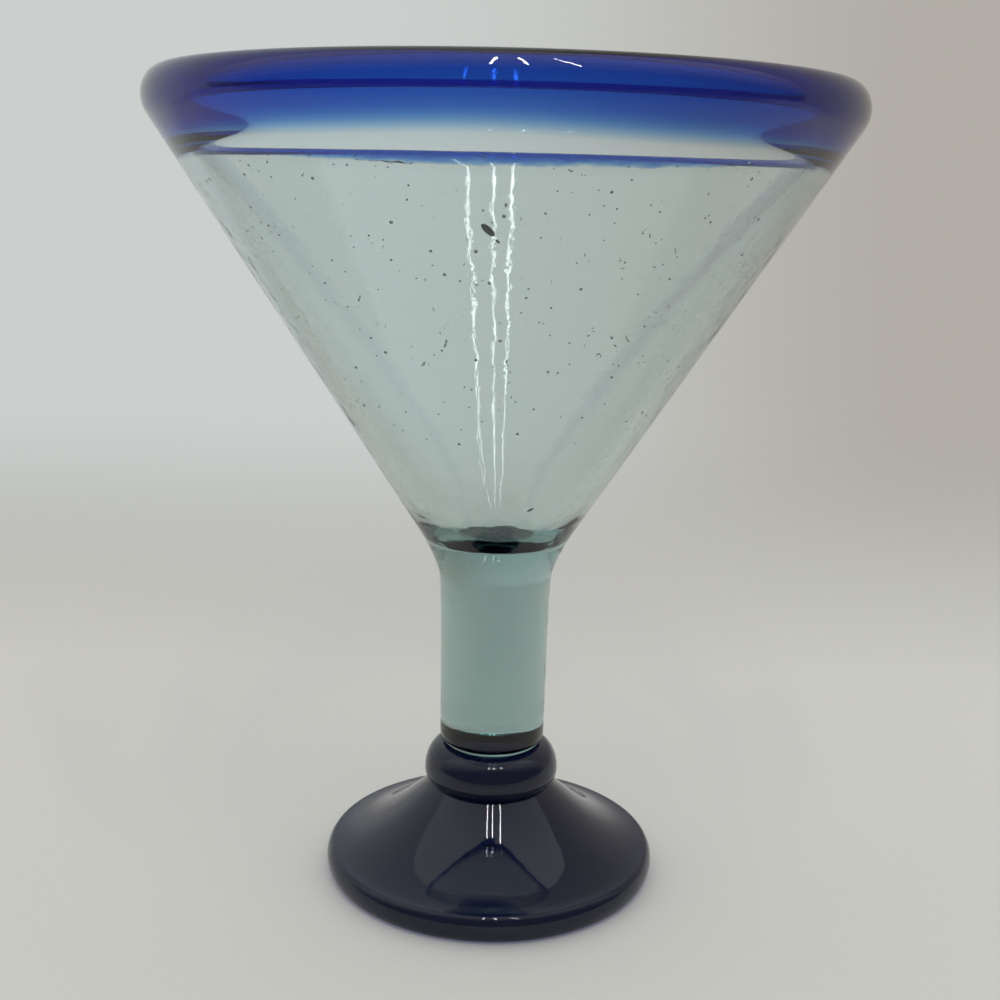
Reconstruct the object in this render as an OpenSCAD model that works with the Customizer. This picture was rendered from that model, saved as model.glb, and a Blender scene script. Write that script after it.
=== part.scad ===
// Hand-blown margarita glass: a conical bowl with a rolled blue lip, a solid stem,
// a blue knop and a blue foot. Every piece is turned about the Z axis and is fused
// face to face to the next, so each seat is set by one shared value.

/* [Glass] */
// Height of the whole glass, from the table to the top of the lip
glass_h = 165; // [150:1:190]
// Diameter across the outside of the lip
lip_d = 138; // [124:1:150]

/* [Foot] */
// Diameter of the foot at its widest
foot_d = 71; // [64:1:90]
// Height of the foot, up to where the knop sits on it
foot_h = 19.4; // [16:0.2:26]
// Height of the foot's rounded edge
foot_edge_h = 5.8; // [4:0.2:8]
// How far the rounded edge stands out past the foot's slope
foot_edge_w = 1.8; // [1.2:0.2:4]
// Diameter of the hollow under the foot
kick_d = 50; // [36:1:54]
// Depth of the hollow under the foot at its middle
kick_h = 1.8; // [1:0.1:3]

/* [Knop] */
// Height of the knop between the foot and the stem
knop_h = 9; // [7:0.2:12]
// Diameter of the face where the knop is fused to the foot
knop_seat_d = 26.2; // [24:0.2:30]
// How far the knop swells out past that face, all round
knop_swell_w = 1.3; // [0.6:0.1:3]
// Diameter of the flat on top of the knop
knop_flat_d = 20.6; // [18:0.2:22]

/* [Stem] */
// Height of the stem between the knop and the bowl
stem_h = 37.6; // [28:0.2:45]
// Diameter of the stem at the bottom, above its rounded end
stem_foot_d = 22.4; // [20:0.2:24]
// Diameter of the stem at the top, where the bowl is fused on
stem_top_d = 23.2; // [20:0.2:26]
// Height of the rounding at the bottom end of the stem
stem_round_h = 2.8; // [1:0.2:4]
// How far that rounding draws in
stem_round_w = 1.8; // [1:0.1:2.4]

/* [Bowl] */
// Height of the solid collar at the bottom of the bowl
collar_h = 6.2; // [4:0.2:8]
// Diameter of the collar where the cone of the bowl begins
collar_d = 28.2; // [26.4:0.2:32]
// Thickness of the bowl's wall
wall_t = 3.6; // [2.6:0.1:4.2]
// Thickness of the solid bottom, from the stem to the floor of the bowl
floor_t = 8; // [7:0.2:12]
// Diameter of the small flat floor inside the bowl
floor_d = 13.2; // [9:0.2:14]
// Height above the floor at which the thick bottom has thinned to the wall
knee_h = 17; // [12:1:26]

/* [Lip] */
// Thickness of the rolled lip, which is an upright oval in section
lip_t = 8.4; // [7.6:0.1:10]
// Height of that oval
lip_h = 10.4; // [9:0.1:13]
// Length down the wall over which the inside of the lip thins to the wall
skirt_l = 10; // [6:0.5:16]
// How deep the blue skirt is let into the wall where it leaves the lip
skirt_t = 1.5; // [0.8:0.1:2]
// How deep it is let in at its lower edge
skirt_edge_t = 0.3; // [0.2:0.1:0.6]

/* [Hidden] */

// Faces round each turned piece
$fn = 96;
// Steps along each rounded stretch of an outline
steps = 12;

// Heights of the fused faces, from the table up
knop_z = foot_h;
stem_z = knop_z + knop_h;
bowl_z = stem_z + stem_h;
cone_z = bowl_z + collar_h;
floor_z = bowl_z + floor_t;
knee_z = floor_z + knee_h;

// Where the foot's slope bends, as shares of its run inwards and of its rise
foot_slope_shares = [[0.35, 0.03], [0.79, 0.67]];
// Diameter of the knop at its widest
knop_d = knop_seat_d + 2 * knop_swell_w;
// Height of the knop's widest ring, as a share of its height
knop_wide_share = 0.33;
// Where the inside of the thick bottom bends, as shares of its run outwards and rise
bottom_shares = [[0.30, 0.02], [0.62, 0.48]];

// Angle on the foot's edge at which the slope leaves it
foot_edge_angle = 70;

// Points of an elliptical arc about c, with half width w and half height h
function arc(c, w, h, from, to) =
    [for (i = [0:steps]) let (a = from + (to - from) * i / steps) c + [w * cos(a), h * sin(a)]];

// Points of a smooth curve from p to q that sets off towards b and comes in from c
function bezier(p, b, c, q) =
    [for (i = [0:steps]) let (t = i / steps, s = 1 - t)
        p * s * s * s + b * 3 * s * s * t + c * 3 * s * t * t + q * t * t * t];

// A point part of the way from p to q, at a share of the run and a share of the rise
function between(p, q, at) = [p[0] + (q[0] - p[0]) * at[0], p[1] + (q[1] - p[1]) * at[1]];

// The lip's oval section, and the cone that runs up from the collar to touch it. The
// touching line is found as it would be on a circle, with heights squashed to suit.
lip_mid = [lip_d / 2 - lip_t / 2, glass_h - lip_h / 2];
cone_foot = [collar_d / 2, cone_z];
reach = [lip_mid[0] - cone_foot[0], (lip_mid[1] - cone_foot[1]) * lip_t / lip_h];
touch_angle = atan2(reach[1], reach[0]) - asin(lip_t / 2 / norm(reach)) - 90;
touch = lip_mid + [lip_t / 2 * cos(touch_angle), lip_h / 2 * sin(touch_angle)];
up = (touch - cone_foot) / norm(touch - cone_foot);
inward = [-up[1], up[0]];

// A point on the wall: u up along it from where it touches the lip, v in from outside
function on_wall(u, v) = touch + up * u + inward * v;

// The skirt's back, let into the wall, and the edge where its face meets the inside
skirt_root = on_wall(0, wall_t - skirt_t);
skirt_edge = on_wall(-skirt_l, wall_t);
skirt_edge_back = on_wall(-skirt_l, wall_t - skirt_edge_t);

// Where the lip's roll ends, straight across from where the cone touches it
roll_end = lip_mid * 2 - touch;
// How far its inside runs on along the wall, and comes in along it, before it bends
taper_shares = [0.5, 0.35];

// Where the inside of the wall ends and the thick bottom begins
inside_foot = on_wall((knee_z - touch[1] - inward[1] * wall_t) / up[1], wall_t);

module turned(points) {
    rotate_extrude() polygon(points);
}

module foot() {
    edge_mid = [foot_d / 2 - foot_edge_w, foot_edge_h / 2];
    edge = arc(edge_mid, foot_edge_w, foot_edge_h / 2, -90, foot_edge_angle);
    seat_rim = [knop_seat_d / 2, foot_h];
    leave = between(edge[steps], seat_rim, foot_slope_shares[0]);
    arrive = between(edge[steps], seat_rim, foot_slope_shares[1]);
    slope = bezier(edge[steps], leave, arrive, seat_rim);
    kick = [for (i = [0:steps]) let (s = i / steps) [kick_d / 2 * s, kick_h * (1 - s * s)]];
    color("midnightblue")
        turned(concat(kick, edge, [for (i = [1:steps]) slope[i]], [[0, foot_h]]));
}

module knop() {
    wide_z = knop_h * knop_wide_share;
    side_w = (knop_d - knop_flat_d) / 2;
    mid = [knop_flat_d / 2, knop_z + wide_z];
    seat_angle = acos((knop_seat_d / 2 - mid[0]) / side_w);
    below = arc(mid, side_w, wide_z / sin(seat_angle), -seat_angle, 0);
    above = arc(mid, side_w, knop_h - wide_z, 0, 90);
    color("midnightblue")
        turned(concat([[0, knop_z]], below, [for (i = [1:steps]) above[i]], [[0, stem_z]]));
}

module stem() {
    end_mid = [stem_foot_d / 2 - stem_round_w, stem_z + stem_round_h];
    end = arc(end_mid, stem_round_w, stem_round_h, -90, 0);
    color("lightcyan", 0.6)
        turned(concat([[0, stem_z]], end, [[stem_top_d / 2, bowl_z], [0, bowl_z]]));
}

module bowl() {
    floor_rim = [floor_d / 2, floor_z];
    low = between(floor_rim, inside_foot, bottom_shares[0]);
    high = between(floor_rim, inside_foot, bottom_shares[1]);
    bottom = bezier(floor_rim, low, high, inside_foot);
    color("lightcyan", 0.4)
        turned(concat(
            [[0, bowl_z], [stem_top_d / 2, bowl_z], cone_foot, touch],
            [skirt_root, skirt_edge_back, skirt_edge],
            [for (i = [steps:-1:0]) bottom[i]],
            [[0, floor_z]]
        ));
}

module lip_ring() {
    turns = [touch_angle, 0, 90, touch_angle + 180];
    roll = [for (q = [0:len(turns) - 2])
        let (part = arc(lip_mid, lip_t / 2, lip_h / 2, turns[q], turns[q + 1]))
        for (i = [1:steps]) part[i]];
    run = up * norm(roll_end - skirt_edge);
    leave = roll_end - run * taper_shares[0];
    arrive = skirt_edge + run * taper_shares[1];
    taper = bezier(roll_end, leave, arrive, skirt_edge);
    color("royalblue", 0.8)
        turned(concat([touch], roll, [for (i = [1:steps]) taper[i]], [skirt_edge_back, skirt_root]));
}

foot();
knop();
stem();
bowl();
lip_ring();
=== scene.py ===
"""Looks of the hand-blown margarita glass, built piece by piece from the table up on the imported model.

Clear soda-lime bowl and stem, a cobalt knop and foot, and a rolled lip cased in cobalt on its inside.
"""

import math

import bmesh
import bpy
from mathutils import Matrix, Vector, noise


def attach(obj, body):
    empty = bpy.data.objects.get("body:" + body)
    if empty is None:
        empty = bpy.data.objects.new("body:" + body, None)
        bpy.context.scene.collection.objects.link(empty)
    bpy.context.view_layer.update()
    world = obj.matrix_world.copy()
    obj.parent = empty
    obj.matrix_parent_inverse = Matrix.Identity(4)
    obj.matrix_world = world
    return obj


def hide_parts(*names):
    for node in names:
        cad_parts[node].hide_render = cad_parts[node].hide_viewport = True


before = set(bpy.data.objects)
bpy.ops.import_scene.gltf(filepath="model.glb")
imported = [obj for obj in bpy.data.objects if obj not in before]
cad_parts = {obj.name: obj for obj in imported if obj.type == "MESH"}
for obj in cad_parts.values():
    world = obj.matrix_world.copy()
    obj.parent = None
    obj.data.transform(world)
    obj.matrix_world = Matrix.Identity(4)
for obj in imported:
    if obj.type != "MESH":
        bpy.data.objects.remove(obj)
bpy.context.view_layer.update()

# Foot
# The real foot looks like a gather of solid cobalt glass, pressed to a low bell and fire-polished. The
# hollow underneath is a guess. The knop is fused to the top face, so that face has no surface of its own.

MM = 0.001
# The most that hand-made glass is drawn in, in mm and as a share of its radius
DRAWN_IN = 0.22
DRAWN_IN_SHARE = 0.012
# The share of that which is oval, where round the piece the oval starts, and its twist per metre of height
OVAL_SHARE = 0.45
OVAL_START = 0.7
OVAL_TWIST = 9
# The rest is lumps: how many of them make up the radius, and how high one is in mm
LUMPS_IN_RADIUS = 2.2
LUMP_HEIGHT = 22


def hand_made(point):
    """The place of a turned point in hand-made glass, which is drawn in a little and never quite round."""
    x, y, z = point
    radius = math.hypot(x, y)
    turn = math.atan2(y, x)
    around = (LUMPS_IN_RADIUS * math.cos(turn), LUMPS_IN_RADIUS * math.sin(turn))
    oval = 0.5 + 0.5 * math.cos(2 * turn + OVAL_START + OVAL_TWIST * z)
    lumps = 0.5 + 0.5 * noise.noise(Vector((*around, z / (LUMP_HEIGHT * MM))))
    uneven = OVAL_SHARE * oval + (1 - OVAL_SHARE) * lumps
    share = 1 - min(radius * DRAWN_IN_SHARE, DRAWN_IN * MM) * uneven / radius
    return Vector((x * share, y * share, z))


def arc(middle, width, height, start, end, steps=24):
    """Points in mm of an elliptical arc between two angles in degrees."""
    found = []
    for i in range(steps + 1):
        a = math.radians(start + (end - start) * i / steps)
        found.append((middle[0] + width * math.cos(a), middle[1] + height * math.sin(a)))
    return found


def bezier(start, leave, arrive, end, steps=24):
    """Points in mm of a smooth curve that sets off towards one point and comes in from another."""
    found = []
    for i in range(steps + 1):
        t = i / steps
        s = 1 - t
        found.append(tuple(
            start[k] * s**3 + leave[k] * 3 * s * s * t + arrive[k] * 3 * s * t * t + end[k] * t**3
            for k in (0, 1)
        ))
    return found


def between(start, end, run, rise):
    """A point part of the way along, at a share of the run and a share of the rise."""
    return (start[0] + (end[0] - start[0]) * run, start[1] + (end[1] - start[1]) * rise)


def straight(start, end, steps):
    """Points in mm along a straight stretch of an outline, both ends included."""
    return [between(start, end, i / steps, i / steps) for i in range(steps + 1)]


def add_object(name, data):
    """Put data into the scene as an object of its own."""
    made = bpy.data.objects.new(name, data)
    bpy.context.scene.collection.objects.link(made)
    return made


# Columns of points round each turned piece
AROUND = 192
# How far in mm a fused face is drawn back into its own glass, so that it never lies in its neighbour's place
JOINT = 0.02
# A point nearer the axis than this, in mm, is on it
ON_AXIS = 1e-6
# An edge across which the surface turns by more degrees than this is sharp
SHARP_TURN = 32


def outline_column(stretches, turn):
    """The points at one turn, each with whether it is on the axis and whether a fused face starts there."""
    outline = []
    for points, back in stretches:
        places = points(turn) if callable(points) else points
        kept = places if places[-1][0] < ON_AXIS else places[:-1]
        outline += [(radius, height, back) for radius, height in kept]
    column = []
    for i, (radius, height, back) in enumerate(outline):
        before, after = outline[i - 1], outline[(i + 1) % len(outline)]
        on_axis = radius < ON_AXIS
        if back and before[2] and not on_axis:
            length = math.dist(before[:2], after[:2])
            radius -= (after[1] - before[1]) / length * back
            height += (after[0] - before[0]) / length * back
        place = Vector((radius * MM * math.cos(turn), radius * MM * math.sin(turn), height * MM))
        column.append((place, on_axis, back is not None))
    return column


def turned(name, stretches):
    """A closed piece turned about Z. Each stretch of its outline is a list of points in mm, or a function of
    the turn that gives one, with None where it is open to the air. Where it is fused to a neighbour it has
    the depth in mm that it is drawn back. Each stretch ends where the next begins."""
    mesh = bmesh.new()
    layer = mesh.faces.layers.float.new("fused")
    columns = [outline_column(stretches, 2 * math.pi * k / AROUND) for k in range(AROUND)]
    rings = []
    for i, (place, on_axis, _) in enumerate(columns[0]):
        if on_axis:
            rings.append([mesh.verts.new(place)])
        else:
            rings.append([mesh.verts.new(hand_made(column[i][0])) for column in columns])
    for i, low in enumerate(rings):
        high = rings[(i + 1) % len(rings)]
        if len(low) == 1 and len(high) == 1:
            continue
        for k in range(AROUND):
            n = (k + 1) % AROUND
            if len(low) == 1:
                corners = (low[0], high[k], high[n])
            elif len(high) == 1:
                corners = (low[k], high[0], low[n])
            else:
                corners = (low[k], high[k], high[n], low[n])
            face = mesh.faces.new(corners)
            face[layer] = 1.0 if columns[0][i][2] else 0.0
            face.smooth = True
    bmesh.ops.recalc_face_normals(mesh, faces=mesh.faces)
    # The glass is smooth up to each joint, so the joint's own slant doesn't turn the shading there
    for line in mesh.edges:
        one, other = line.link_faces
        line.smooth = line.calc_face_angle() < math.radians(SHARP_TURN) and one[layer] == other[layer]
    data = bpy.data.meshes.new(name)
    mesh.to_mesh(data)
    mesh.free()
    return add_object(name, data)


def linear(code):
    """A colour written as sRGB hex, as the linear values that a shader takes."""
    values = [int(code[i:i + 2], 16) / 255 for i in (0, 2, 4)]
    return tuple(v / 12.92 if v <= 0.04045 else ((v + 0.055) / 1.055) ** 2.4 for v in values) + (1.0,)


def node(tree, kind, settings=None, **sockets):
    """Add a node, set its own settings, and fill or link its inputs by name, or by number as i0 and so on."""
    made = tree.nodes.new(kind)
    for key, value in (settings or {}).items():
        setattr(made, key, value)
    for key, value in sockets.items():
        place = int(key[1:]) if key[0] == "i" and key[1:].isdigit() else key.replace("_", " ")
        if isinstance(value, bpy.types.NodeSocket):
            tree.links.new(value, made.inputs[place])
        else:
            made.inputs[place].default_value = value
    return made


def greater(tree, one, other):
    """The greater of two values, which is 1 where either of two kinds of ray is met."""
    return node(tree, "ShaderNodeMath", {"operation": "MAXIMUM"}, i0=one, i1=other).outputs[0]


def soft_step(tree, value, low, high, at_low=0.0, at_high=1.0):
    """A value that turns softly from one to another between two marks."""
    return node(
        tree, "ShaderNodeMapRange", {"interpolation_type": "SMOOTHSTEP"},
        Value=value, From_Min=low, From_Max=high, To_Min=at_low, To_Max=at_high,
    ).outputs[0]


def mixed_shader(tree, share, one, other):
    """One shader, with a share of another."""
    return node(tree, "ShaderNodeMixShader", None, i0=share, i1=one, i2=other).outputs[0]


def empty_material(name):
    """A new material, and its node tree with nothing in it."""
    made = bpy.data.materials.new(name)
    made.use_nodes = True
    made.node_tree.nodes.clear()
    return made, made.node_tree


# How much glass bends light
GLASS_INDEX = 1.5
# How deep the ripples are in mm, and how many times longer they run round a piece than up it
RIPPLE_DEPTH = 0.35
RIPPLE_STRETCH = 1.7
# The heights in mm between which the ripples fade, and the share of them that is left above
RIM_FADE = (137, 147)
RIM_RIPPLE_SHARE = 0.25
# The share of a lamp's or the floor's light that goes on past each face of glass
PASSED_SHARE = 0.93
# The share of a dark glass's look that comes from its murk
MURK_SHARE = 0.6


def fused_glass(name, body, density, ripple, ripple_size=9.0, murk=None):
    """Hot-worked glass: clear through and through, tinted by the depth of it that light crosses. The ripple
    size is in mm, and murk is a plain colour mixed into the look of a glass that would else show black."""
    made, tree = empty_material(name)
    place = node(tree, "ShaderNodeTexCoord").outputs["Object"]
    # Tooling leaves shallow ripples less than a centimetre apart, drawn out round the piece
    drawn = node(tree, "ShaderNodeMapping", i0=place, Scale=(1.0, 1.0, RIPPLE_STRETCH)).outputs[0]
    waves = node(
        tree, "ShaderNodeTexNoise", None,
        Vector=drawn, Scale=1 / (ripple_size * MM), Detail=2.5, Roughness=0.45,
    ).outputs[0]
    # They fade near the rim, where full ripples would make the edge of the blue band ragged
    height = node(tree, "ShaderNodeSeparateXYZ", None, i0=place).outputs[2]
    left = soft_step(
        tree, height, RIM_FADE[0] * MM, RIM_FADE[1] * MM, ripple, ripple * RIM_RIPPLE_SHARE
    )
    bumped = node(
        tree, "ShaderNodeBump", None, Strength=left, Distance=RIPPLE_DEPTH * MM, Height=waves
    ).outputs[0]
    glass = node(
        tree, "ShaderNodeBsdfPrincipled", None, Base_Color=linear("fdfffe"), Roughness=0.0,
        IOR=GLASS_INDEX, Transmission_Weight=1.0, Normal=bumped,
    ).outputs[0]
    if murk:
        # Tinted by depth alone, glass this dark shows black. The real one shows navy all over, for a reason
        # that isn't known, so a plain coat of that colour is mixed in to match it
        coat = node(
            tree, "ShaderNodeBsdfPrincipled", None, Base_Color=linear(murk), Roughness=0.0,
            IOR=GLASS_INDEX, Normal=bumped,
        ).outputs[0]
        glass = mixed_shader(tree, MURK_SHARE, glass, coat)
    # Lamps and the floor's own light pass straight on, tinted, in place of the caustics they would make
    rays = node(tree, "ShaderNodeLightPath").outputs
    passing = greater(tree, rays["Is Shadow Ray"], rays["Is Diffuse Ray"])
    passed = node(tree, "ShaderNodeBsdfTransparent", None, Color=(*[PASSED_SHARE] * 3, 1.0)).outputs[0]
    lit = mixed_shader(tree, passing, glass, passed)
    # A face that is fused to a neighbour has no surface at all
    joint = node(tree, "ShaderNodeAttribute", {"attribute_name": "fused"}).outputs["Fac"]
    nothing = node(tree, "ShaderNodeBsdfTransparent").outputs[0]
    surface = mixed_shader(tree, joint, lit, nothing)
    depth = node(tree, "ShaderNodeVolumeAbsorption", None, Color=linear(body), Density=density)
    node(tree, "ShaderNodeOutputMaterial", None, Surface=surface, Volume=depth.outputs[0])
    return made


# Radius of the foot, and the half width and half height of its rounded edge, all in mm
FOOT_RADIUS = 35.5
FOOT_EDGE = (1.8, 2.9)
# The angle in degrees on that edge at which the slope leaves it
FOOT_EDGE_END = 70
# Where the slope bends, as shares of its run inwards and of its rise
SLOPE_SHARES = ((0.35, 0.03), (0.79, 0.67))
# Rim of the top face, where the knop sits, as its radius and height
FOOT_SEAT = (13.1, 19.4)
# Radius and depth of the hollow underneath
HOLLOW = (25, 1.8)
HOLLOW_STEPS = 24
hollow_steps = [i / HOLLOW_STEPS for i in range(HOLLOW_STEPS + 1)]
hollow = [(HOLLOW[0] * share, HOLLOW[1] * (1 - share**2)) for share in hollow_steps]
edge = arc((FOOT_RADIUS - FOOT_EDGE[0], FOOT_EDGE[1]), *FOOT_EDGE, -90, FOOT_EDGE_END)
slope_bends = [between(edge[-1], FOOT_SEAT, *shares) for shares in SLOPE_SHARES]
foot = turned("foot_bell", [
    (hollow, None),
    (straight(hollow[-1], edge[0], 6), None),
    (edge, None),
    (bezier(edge[-1], *slope_bends, FOOT_SEAT, 60), None),
    (straight(FOOT_SEAT, (0, FOOT_SEAT[1]), 8), JOINT),
])
# Solid cobalt glass: navy, nearly black where it is thick and deep blue where light gets through an edge
foot_glass = fused_glass("cobalt_glass_foot", "0012a8", 300, 0.2, murk="051036")
foot.data.materials.append(foot_glass)
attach(foot, "root")
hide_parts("foot")

# Knop
# A second small gather of the same cobalt glass, squeezed to a soft ring between the foot and the stem.
# It is fused to both, so its two flat faces are inside the glass.

KNOP_TOP = 28.4
# Height of the knop's widest ring above the foot, and how far its side swells out past the flat on top
KNOP_WIDEST = 2.97
KNOP_SIDE = 4.1
# Radius of that flat, and of the stem's end face on it
KNOP_FLAT = 10.3
STEM_END = 9.4
knop_middle = (KNOP_FLAT, FOOT_SEAT[1] + KNOP_WIDEST)
seat_angle = math.degrees(math.acos((FOOT_SEAT[0] - KNOP_FLAT) / KNOP_SIDE))
below = KNOP_WIDEST / math.sin(math.radians(seat_angle))
knop = turned("knop_ring", [
    (straight((0, FOOT_SEAT[1]), FOOT_SEAT, 8), JOINT),
    (arc(knop_middle, KNOP_SIDE, below, -seat_angle, 0), None),
    (arc(knop_middle, KNOP_SIDE, KNOP_TOP - knop_middle[1], 0, 90), None),
    (straight((KNOP_FLAT, KNOP_TOP), (STEM_END, KNOP_TOP), 2), None),
    (straight((STEM_END, KNOP_TOP), (0, KNOP_TOP), 8), JOINT),
])
knop.data.materials.append(foot_glass)
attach(knop, "root")
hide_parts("knop")

# Stem
# A solid rod of clear glass with a rounded lower end, fused hot to the knop and to the bowl. Its depth of
# glass shows a pale aqua tint, of the kind that iron in the sand gives.

# Width and height of the rounding at the lower end
STEM_ROUND = (1.8, 2.8)
# Where the rod starts to flare, the two points that guide the flare, and the rim of its top face
FLARE_START = (11.35, 50.0)
FLARE_BENDS = ((11.45, 56.0), (11.5, 63.0))
STEM_TOP = (11.9, 66.0)
stem_side = (STEM_END + STEM_ROUND[0], KNOP_TOP + STEM_ROUND[1])
stem = turned("stem_rod", [
    (straight((0, KNOP_TOP), (STEM_END, KNOP_TOP), 8), JOINT),
    (arc((STEM_END, stem_side[1]), *STEM_ROUND, -90, 0), None),
    (straight(stem_side, FLARE_START, 20), None),
    (bezier(FLARE_START, *FLARE_BENDS, STEM_TOP), None),
    (straight(STEM_TOP, (0, STEM_TOP[1]), 8), JOINT),
])
# Clear soda-lime glass: nearly colourless in a thin wall, pale aqua through the whole width of the stem
clear_glass = fused_glass("clear_soda_glass", "44a39f", 47, 0.26, 7.5)
stem.data.materials.append(clear_glass)
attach(stem, "root")
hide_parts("stem")

# Bowl
# Clear glass blown to a cone, with a thick solid bottom. Its wall runs up into the rolled lip, and its
# bottom face is fused to the stem.

# Middle and half sizes of the lip's oval section, which the cone runs up to touch
LIP_MIDDLE = (64.8, 159.8)
LIP_HALF = (4.2, 5.2)
WALL = 3.6
# Where the cone would start, without the curve that leads into it
CONE_FOOT = (14.1, 72.2)
# The point that guides that curve, and how far up the cone it is drawn towards and ends
COLLAR_BEND = (12.3, 68.4)
COLLAR_AIM = 1.0
COLLAR_END = 4.0
# How far down the wall the lip's inside reaches, and the height at which the thick bottom begins
SKIRT = 10.0
KNEE_HEIGHT = 91
# Rim of the small flat floor inside, and where the thick bottom bends, as shares of its run and its rise
FLOOR_RIM = (6.6, 74.0)
BOTTOM_SHARES = ((0.62, 0.48), (0.30, 0.02))
# The line that touches the oval is found as it would be on a circle, with heights squashed to suit
reach = (LIP_MIDDLE[0] - CONE_FOOT[0], (LIP_MIDDLE[1] - CONE_FOOT[1]) * LIP_HALF[0] / LIP_HALF[1])
touch_angle = math.atan2(reach[1], reach[0]) - math.asin(LIP_HALF[0] / math.hypot(*reach)) - math.pi / 2
touch = (
    LIP_MIDDLE[0] + LIP_HALF[0] * math.cos(touch_angle),
    LIP_MIDDLE[1] + LIP_HALF[1] * math.sin(touch_angle),
)
wall_run = math.dist(touch, CONE_FOOT)
up = ((touch[0] - CONE_FOOT[0]) / wall_run, (touch[1] - CONE_FOOT[1]) / wall_run)
inward = (-up[1], up[0])


def on_wall(along, depth):
    """A point of the wall, so far up it from where it touches the lip and so deep in from outside."""
    return tuple(touch[k] + up[k] * along + inward[k] * depth for k in (0, 1))


taper_end = on_wall(-SKIRT, WALL)
inside_foot = on_wall((KNEE_HEIGHT - touch[1] - inward[1] * WALL) / up[1], WALL)
bottom_bends = [between(FLOOR_RIM, inside_foot, *shares) for shares in BOTTOM_SHARES]
cone_start = on_wall(COLLAR_END - wall_run, 0)
collar = bezier(STEM_TOP, COLLAR_BEND, on_wall(COLLAR_AIM - wall_run, 0), cone_start)
bowl = turned("bowl_cone", [
    (straight((0, STEM_TOP[1]), STEM_TOP, 8), JOINT),
    (collar, None),
    (straight(cone_start, touch, 100), None),
    (straight(touch, taper_end, 3), JOINT),
    (straight(taper_end, inside_foot, 80), None),
    (bezier(inside_foot, *bottom_bends, FLOOR_RIM, 48), None),
    (straight(FLOOR_RIM, (0, FLOOR_RIM[1]), 6), None),
])
bowl.data.materials.append(clear_glass)
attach(bowl, "root")
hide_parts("bowl")

# Lip
# The edge of the bowl is rolled thick over a band of cobalt glass. The band cases the inside of the roll
# and thins out down the wall, further down at the back than at the front. The rest of the roll is clear.

# The angle in degrees on the roll at which the band starts, and the first short stretch above the joint
BAND_START = 72
JOINT_STRETCH = 1.6
# How far the roll's inside runs on along the wall, and comes in along it, before it bends
TAPER_SHARES = (0.5, 0.35)
# The band's depth in mm where it is full, and where it is too thin to tint anything
BAND_DEEP = 0.7
BAND_LEAST = 0.012
# The steps down the roll from its start over which it thickens
BAND_START_STEPS = 22
# The heights in mm at which it has thinned out and at which it is full, at the front and at the back
BAND_LOWEST = (152.6, 149.3)
BAND_FULLEST = (160.6, 151.6)
# The front eases into the back from the sides, where the sine of the turn is 0, up to this sine
BACK_SINE = 0.6
# The waves of its edge: how high in mm, how many round the glass, and where they start
EDGE_WAVES = ((0.35, 3, 1.1), (0.2, 7, 0.0))
# The share of those waves that the back is without
BACK_CALM_SHARE = 0.6
# The band's greatest depth, as a share of how far it is from the lip's lower edge
WEDGE_SHARE = 0.27
touch_degrees = math.degrees(touch_angle)
joint_top = touch_degrees + JOINT_STRETCH
leaving = arc(LIP_MIDDLE, *LIP_HALF, touch_degrees, joint_top, 5)
outer_roll = leaving[:-1] + arc(LIP_MIDDLE, *LIP_HALF, joint_top, BAND_START, 56)
inner_roll = arc(LIP_MIDDLE, *LIP_HALF, BAND_START, touch_degrees + 180, 64)
roll_end = inner_roll[-1]
run = math.dist(roll_end, taper_end)
taper = bezier(
    roll_end,
    tuple(roll_end[k] - up[k] * run * TAPER_SHARES[0] for k in (0, 1)),
    tuple(taper_end[k] + up[k] * run * TAPER_SHARES[1] for k in (0, 1)),
    taper_end,
    40,
)
inside = inner_roll + taper[1:]


def eased(value, low, high):
    """From 0 at low to 1 at high, with a soft start and end."""
    t = min(1.0, max(0.0, (value - low) / (high - low)))
    return t * t * (3 - 2 * t)


def band_back(turn):
    """The back of the cobalt band at one turn, from its lower edge up to where it starts on the roll."""
    behind = eased(math.sin(turn), 0.0, BACK_SINE)
    wander = sum(high * math.sin(count * turn + start) for high, count, start in EDGE_WAVES)
    wander *= 1 - BACK_CALM_SHARE * behind
    lowest = BAND_LOWEST[0] + (BAND_LOWEST[1] - BAND_LOWEST[0]) * behind + wander
    fullest = BAND_FULLEST[0] + (BAND_FULLEST[1] - BAND_FULLEST[0]) * behind + wander
    found = [inside[0]]
    for i in range(1, len(inside)):
        place = inside[i]
        before, after = inside[i - 1], inside[min(len(inside) - 1, i + 1)]
        length = math.dist(before, after)
        into = (-(after[1] - before[1]) / length, (after[0] - before[0]) / length)
        depth = BAND_DEEP * eased(place[1], lowest, fullest) * eased(i, 0, BAND_START_STEPS)
        # Near its lower edge the lip is a thin wedge on the bowl, and the band stays within it
        depth = min(max(BAND_LEAST, depth), math.dist(place, taper_end) * WEDGE_SHARE)
        found.append((place[0] + into[0] * depth, place[1] + into[1] * depth))
    return found[::-1]


lip = turned("rolled_lip", [
    (outer_roll, None),
    (lambda turn: band_back(turn)[::-1], JOINT),
    (straight(taper_end, touch, 3), JOINT),
])
lip.data.materials.append(clear_glass)
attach(lip, "root")
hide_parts("lip_ring")

band = turned("cobalt_band", [
    (inside, None),
    (band_back, 0.0),
])
# Strong cobalt glass lets blue through and little else, so under a millimetre of it is already royal blue
band_glass = fused_glass("cobalt_glass_band", "00b6f5", 6000, 0.15)
band.data.materials.append(band_glass)
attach(band, "root")
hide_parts("lip_ring")

# Seeds
# The real wall shows fine dots, taken to be the small bubbles that glassmakers call seeds. Here they lie all
# through the wall, at any depth.

# How many seeds there are to a square metre of wall, and their radii in mm
SEEDS_PER_AREA = 28000.0
SEED_RADII = (0.15, 0.34)
# How far in mm they lie to either side of the wall's middle
SEED_LAYER = 1.1
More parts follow.
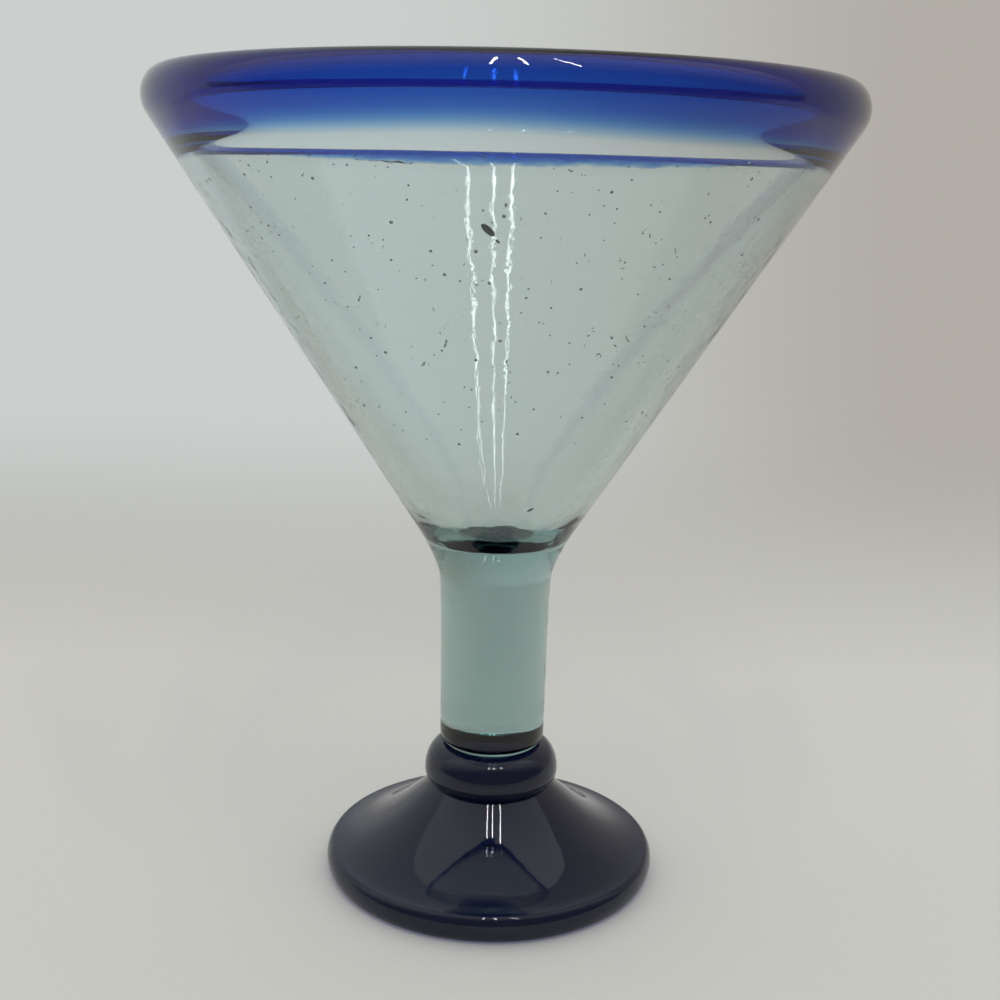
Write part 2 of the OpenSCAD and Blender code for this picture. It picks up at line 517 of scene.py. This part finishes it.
# How far down the wall, in mm from where it touches the lip, they start and end
SEEDS_DOWN = (9, 70)
# Most seeds are fine and a few are coarse, so the even draw of their size is raised to this power
FEW_COARSE = 2.5


def seed_tree(glass):
    """A node tree that scatters little spheres through the wall whose middle it is given."""
    tree = bpy.data.node_groups.new("seeds_in_wall", "GeometryNodeTree")
    tree.interface.new_socket("Wall", in_out="INPUT", socket_type="NodeSocketGeometry")
    for name in ("Seeds per Area", "Smallest Radius", "Largest Radius", "Layer"):
        tree.interface.new_socket(name, in_out="INPUT", socket_type="NodeSocketFloat")
    tree.interface.new_socket("Geometry", in_out="OUTPUT", socket_type="NodeSocketGeometry")
    given = node(tree, "NodeGroupInput").outputs
    spread = node(
        tree, "GeometryNodeDistributePointsOnFaces", None,
        Mesh=given["Wall"], Density=given["Seeds per Area"], Seed=11,
    ).outputs
    outmost = node(tree, "ShaderNodeMath", {"operation": "MULTIPLY"}, i0=given["Layer"], i1=-1.0)
    depth = node(
        tree, "FunctionNodeRandomValue", {"data_type": "FLOAT"},
        i2=outmost.outputs[0], i3=given["Layer"], Seed=5,
    )
    aside = node(
        tree, "ShaderNodeVectorMath", {"operation": "SCALE"}, i0=spread["Normal"], Scale=depth.outputs[1]
    )
    placed = node(
        tree, "GeometryNodeSetPosition", None, Geometry=spread["Points"], Offset=aside.outputs[0]
    )
    draw = node(tree, "FunctionNodeRandomValue", {"data_type": "FLOAT"}, Seed=8)
    few = node(tree, "ShaderNodeMath", {"operation": "POWER"}, i0=draw.outputs[1], i1=FEW_COARSE)
    size = node(
        tree, "ShaderNodeMapRange", None,
        Value=few.outputs[0], To_Min=given["Smallest Radius"], To_Max=given["Largest Radius"],
    )
    ball = node(tree, "GeometryNodeMeshUVSphere", None, Segments=8, Rings=5, Radius=1.0)
    balls = node(
        tree, "GeometryNodeInstanceOnPoints", None,
        Points=placed.outputs[0], Instance=ball.outputs[0], Scale=size.outputs[0],
    )
    real = node(tree, "GeometryNodeRealizeInstances", None, Geometry=balls.outputs[0])
    smooth = node(tree, "GeometryNodeSetShadeSmooth", None, i0=real.outputs[0])
    filled = node(tree, "GeometryNodeSetMaterial", None, Geometry=smooth.outputs[0], Material=glass)
    node(tree, "NodeGroupOutput", None, Geometry=filled.outputs[0])
    return tree


def wall_middle():
    """The middle of the seeded wall, as one ring of quads that carries the seeds."""
    low, high = (on_wall(-down, WALL / 2) for down in reversed(SEEDS_DOWN))
    points, faces = [], []
    for k in range(AROUND):
        a = 2 * math.pi * k / AROUND
        for radius, height in (low, high):
            points.append((radius * MM * math.cos(a), radius * MM * math.sin(a), height * MM))
        n = (k + 1) % AROUND
        faces.append((2 * k, 2 * n, 2 * n + 1, 2 * k + 1))
    data = bpy.data.meshes.new("wall_middle")
    data.from_pydata(points, [], faces)
    return add_object("wall_middle", data)


# A bubble is air inside glass, so light bends the other way at it: 1 over the glass's own index
seed_air, tree = empty_material("air_in_glass")
bubble = node(tree, "ShaderNodeBsdfGlass", None, Color=linear("e4ecea"), Roughness=0.0, IOR=1 / GLASS_INDEX)
rays = node(tree, "ShaderNodeLightPath").outputs
unseen = greater(tree, rays["Is Shadow Ray"], rays["Is Diffuse Ray"])
clear = node(tree, "ShaderNodeBsdfTransparent")
shown = mixed_shader(tree, unseen, bubble.outputs[0], clear.outputs[0])
node(tree, "ShaderNodeOutputMaterial", None, Surface=shown)

carrier = wall_middle()
group = seed_tree(seed_air)
scatter = carrier.modifiers.new("seeds", "NODES")
scatter.node_group = group
wanted = {
    "Seeds per Area": SEEDS_PER_AREA,
    "Smallest Radius": SEED_RADII[0] * MM,
    "Largest Radius": SEED_RADII[1] * MM,
    "Layer": SEED_LAYER * MM,
}
for item in group.interface.items_tree:
    if item.in_out == "INPUT" and item.name in wanted:
        scatter[item.identifier] = wanted[item.name]
shaped = carrier.evaluated_get(bpy.context.evaluated_depsgraph_get())
scattered = bpy.data.meshes.new_from_object(shaped)
bpy.data.objects.remove(carrier)
scattered.name = "seeds"
seeds = add_object("seeds", scattered)
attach(seeds, "root")

# Dark marks
# Two dark marks in the front wall: a grey one drawn long with a small tail, a third of the way down, and a
# speck near the bottom. The long one is taken to be a flattened bubble that looks dark because light turns
# back inside it. That shade is painted as a dull grey solid that blocks the light, and the speck is drawn
# the same way.


def mixed_colour(tree, share, one, other):
    """One colour, with a share of another."""
    return node(tree, "ShaderNodeMix", {"data_type": "RGBA"}, i0=share, i6=one, i7=other).outputs[2]


# Each mark, and the tail: how far across, how far down the wall, the tilt in degrees, the half sizes in mm
DARK_MARKS = (
    (-2.3, 22.6, 42, (0.62, 0.4, 1.5)),
    (-0.75, 24.7, 42, (0.22, 0.2, 0.5)),
    (6.3, 86.6, -60, (0.26, 0.22, 0.75)),
)
# Painted shade of a bubble: a rough dark grey, mottled in specks of this size in mm
MOTTLE_SIZE = 0.4
painted_bubble_shade, tree = empty_material("painted_bubble_shade_grey")
place = node(tree, "ShaderNodeTexCoord").outputs["Object"]
mark_mottle = node(tree, "ShaderNodeTexNoise", None, Vector=place, Scale=1 / (MOTTLE_SIZE * MM), Detail=2.0).outputs[0]
grey = mixed_colour(tree, mark_mottle, linear("3e4445"), linear("6c7271"))
dull = node(tree, "ShaderNodeBsdfPrincipled", None, Base_Color=grey, Roughness=0.7)
node(tree, "ShaderNodeOutputMaterial", None, Surface=dull.outputs[0])
dark_mark_mesh = bmesh.new()
wall_lean = math.atan2(up[0], up[1])
for across, down, tilt, sizes in DARK_MARKS:
    radius, height = on_wall(-down, WALL / 2)
    stand = Matrix.Translation((across * MM, -math.sqrt(radius**2 - across**2) * MM, height * MM))
    lean = Matrix.Rotation(wall_lean, 4, "X") @ Matrix.Rotation(math.radians(-tilt), 4, "Y")
    scale = Matrix.Diagonal((*[size * MM for size in sizes], 1.0))
    bmesh.ops.create_uvsphere(
        dark_mark_mesh, u_segments=20, v_segments=12, radius=1.0, matrix=stand @ lean @ scale
    )
for side in dark_mark_mesh.faces:
    side.smooth = True
dark_mark_data = bpy.data.meshes.new("dark_marks")
dark_mark_mesh.to_mesh(dark_mark_data)
dark_mark_mesh.free()
dark_mark_data.materials.append(painted_bubble_shade)
dark_marks = add_object("dark_marks", dark_mark_data)
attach(dark_marks, "root")

# Floor and backdrop
# One pale sheet of matt paper that lies flat under the glass and sweeps up behind it. Its back is clear,
# so that it hides nothing from behind. All its sizes are in metres.

SHEET_HALF_WIDTH = 2.2
SHEET_BELOW = 0.0002
# The lines across the flat part, from its front edge behind the camera to where the bend starts
FLAT_LINES = (-1.6, -0.8, -0.3, 0.0, 0.12)
BEND_RADIUS = 0.16
BEND_DEGREES = 82
BEND_STEPS = 24
# How far the straight part above the bend leans back and rises
SHEET_TOP = (0.25, 1.7)
# How far in front of the glass, out of the picture, a painted shade starts to grey the flat part, and where
# it is fully grey
PAINTED_SHADE_STARTS = -0.1
PAINTED_SHADE_ENDS = -0.34
# The height above which the upright part has its own plain tone, and where across a painted shade darkens
# that tone
UPRIGHT_FROM = 0.06
PAINTED_SHADE_ACROSS = (-0.06, 0.17)


def paper_sheet():
    """The sheet as a strip of quads, flat, then bent up."""
    path = [(y, 0.0) for y in FLAT_LINES]
    for i in range(1, BEND_STEPS + 1):
        a = math.radians(BEND_DEGREES * i / BEND_STEPS)
        path.append((FLAT_LINES[-1] + BEND_RADIUS * math.sin(a), BEND_RADIUS * (1 - math.cos(a))))
    path.append((path[-1][0] + SHEET_TOP[0], path[-1][1] + SHEET_TOP[1]))
    places, faces = [], []
    for y, z in path:
        places += [(x, y, z - SHEET_BELOW) for x in (-SHEET_HALF_WIDTH, SHEET_HALF_WIDTH)]
    for i in range(len(path) - 1):
        faces.append((2 * i, 2 * i + 1, 2 * i + 3, 2 * i + 2))
    data = bpy.data.meshes.new("paper_sweep")
    data.from_pydata(places, [], faces)
    data.polygons.foreach_set("use_smooth", [True] * len(data.polygons))
    return add_object("paper_sweep", data)


backdrop = paper_sheet()
# Matt paper: a warm white with a faint mottle, which scatters light evenly and shows no highlight
paper, tree = empty_material("matt_paper")
place = node(tree, "ShaderNodeTexCoord").outputs["Object"]
x, y, z = node(tree, "ShaderNodeSeparateXYZ", None, i0=place).outputs
mottle = node(tree, "ShaderNodeTexNoise", None, Vector=place, Scale=5.0, Detail=2.0).outputs[0]
white = mixed_colour(tree, mottle, linear("e2dfd8"), linear("dddad3"))
# Painted shade: the flat part greys towards the front, out of the picture, in place of the shade of someone
# standing there, so that it shows dark in the glass
near = node(tree, "ShaderNodeMapRange", None, Value=y, From_Min=PAINTED_SHADE_STARTS, From_Max=PAINTED_SHADE_ENDS).outputs[0]
flat_tone = mixed_colour(tree, near, white, linear("aeaba7"))
matt = node(tree, "ShaderNodeBsdfPrincipled", None, Base_Color=flat_tone, Roughness=0.9).outputs[0]
# The upright part shows its own pale grey to the eye and in the glass, with a painted shade that makes it
# darker on the right, and lets all other light through
pale = mixed_colour(tree, soft_step(tree, x, *PAINTED_SHADE_ACROSS), linear("cbcfcd"), linear("b1ada6"))
shown = node(tree, "ShaderNodeEmission", None, Color=pale, Strength=1.0).outputs[0]
unlit = node(tree, "ShaderNodeBsdfTransparent").outputs[0]
rays = node(tree, "ShaderNodeLightPath").outputs
mirrored = greater(tree, rays["Is Glossy Ray"], rays["Is Transmission Ray"])
wall = mixed_shader(tree, greater(tree, rays["Is Camera Ray"], mirrored), unlit, shown)
swept = mixed_shader(tree, soft_step(tree, z, 0.0, UPRIGHT_FROM), matt, wall)
back_side = node(tree, "ShaderNodeNewGeometry").outputs["Backfacing"]
open_back = node(tree, "ShaderNodeBsdfTransparent").outputs[0]
one_sided = mixed_shader(tree, back_side, swept, open_back)
node(tree, "ShaderNodeOutputMaterial", None, Surface=one_sided)
backdrop.data.materials.append(paper)

# Light
# Plain soft daylight from above and behind, and three narrow strips high behind the camera, which show as
# the bright streaks down the inside of the bowl.

# The way towards the light, and how far along it the room turns from dim to bright
LIGHTWARD = (-0.08, 0.55, 0.75)
BRIGHTENS = (0.05, 0.6)
world = bpy.data.worlds.new("soft_room")
world.use_nodes = True
tree = world.node_tree
tree.nodes.clear()
way = node(tree, "ShaderNodeTexCoord").outputs["Generated"]
toward = node(tree, "ShaderNodeVectorMath", {"operation": "DOT_PRODUCT"}, i0=way, i1=LIGHTWARD)
aloft = node(
    tree, "ShaderNodeMapRange", None,
    Value=toward.outputs["Value"], From_Min=BRIGHTENS[0], From_Max=BRIGHTENS[1],
).outputs[0]
sky = mixed_colour(tree, aloft, linear("787c80"), linear("f4f6f6"))
room = node(tree, "ShaderNodeBackground", None, Color=sky, Strength=1.0)
node(tree, "ShaderNodeOutputWorld", None, Surface=room.outputs[0])
bpy.context.scene.world = world

# How far to the right each strip hangs, then how far back and how high, in metres
STRIPS = (("strip_left", -0.045), ("strip_middle", 0.065), ("strip_right", 0.235))
STRIP_BACK = -0.46
STRIP_HIGH = 0.99
# Width and length in metres, power in watts, and the point that they face
STRIP_SIZE = (0.012, 0.4)
STRIP_WATTS = 0.6
STRIP_AIM = Vector((0, 0.04, 0.12))
for name, across in STRIPS:
    data = bpy.data.lights.new(name, "AREA")
    data.shape = "RECTANGLE"
    data.size, data.size_y = STRIP_SIZE
    data.energy = STRIP_WATTS
    lamp = add_object(name, data)
    lamp.location = (across, STRIP_BACK, STRIP_HIGH)
    lamp.rotation_euler = (STRIP_AIM - lamp.location).to_track_quat("-Z", "Y").to_euler()

# Camera
# The photograph's view, from close by and a little below the lip: it looks through the front of the lip to
# the inside of the back, and down on the foot.

# Place in metres, and how far in degrees it looks down and is held askew
CAMERA_PLACE = (0.0006, -0.2755, 0.14553)
LOOKS_DOWN = 13.1
HELD_ASKEW = 1.35
camera_data = bpy.data.cameras.new("photo_view")
camera_data.lens = 49.1
camera_data.sensor_width = 36.0
camera_data.clip_start = 0.01
camera = add_object("photo_view", camera_data)
camera.matrix_world = (
    Matrix.Translation(CAMERA_PLACE)
    @ Matrix.Rotation(math.radians(90 - LOOKS_DOWN), 4, "X")
    @ Matrix.Rotation(math.radians(HELD_ASKEW), 4, "Z")
)
bpy.context.scene.camera = camera
bpy.context.scene.view_settings.view_transform = "Standard"
# Light crosses many faces of glass before it leaves
bpy.context.scene.cycles.max_bounces = 24
bpy.context.scene.cycles.transmission_bounces = 24
bpy.context.scene.cycles.transparent_max_bounces = 48
